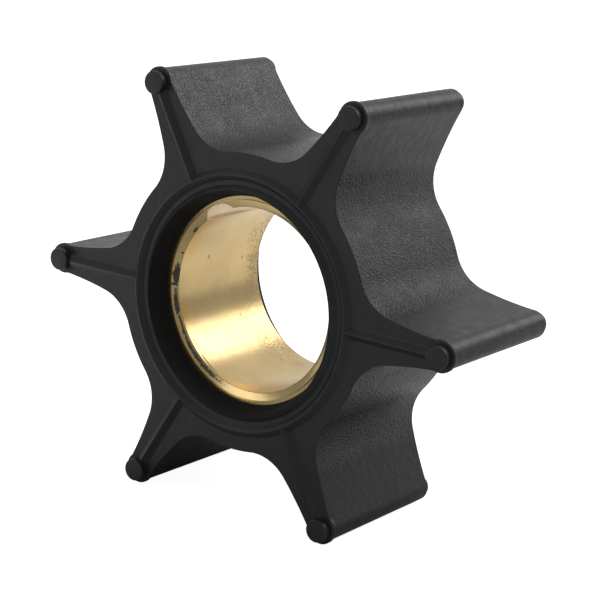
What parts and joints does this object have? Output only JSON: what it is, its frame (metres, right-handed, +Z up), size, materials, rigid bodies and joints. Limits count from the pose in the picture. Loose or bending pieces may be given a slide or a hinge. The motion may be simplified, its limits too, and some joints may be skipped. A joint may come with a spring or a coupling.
{
  "type": "rubber pump impeller",
  "caption": "Black rubber water-pump impeller: straight radial vanes on a thick hub, moulded around a brass bushing with a round keyway.",
  "frame": {"origin": "centre of the shaft bore, halfway between the two faces", "axes": "+Y along the bore towards the back face, +X through one vane, +Z up between two vanes; the impeller stands on the ends of its two lower vanes"},
  "size_m": [0.0678, 0.0255, 0.0592],
  "materials": {
    "black_rubber": "matt moulded rubber with a fine sand grain on the flanks and smoother faces",
    "brass": "turned and polished brass, slightly tarnished at the edges"
  },
  "bodies": {
    "root": {"rubber_body": "black_rubber", "brass_bushing": "brass"}
  },
  "joints": []
}
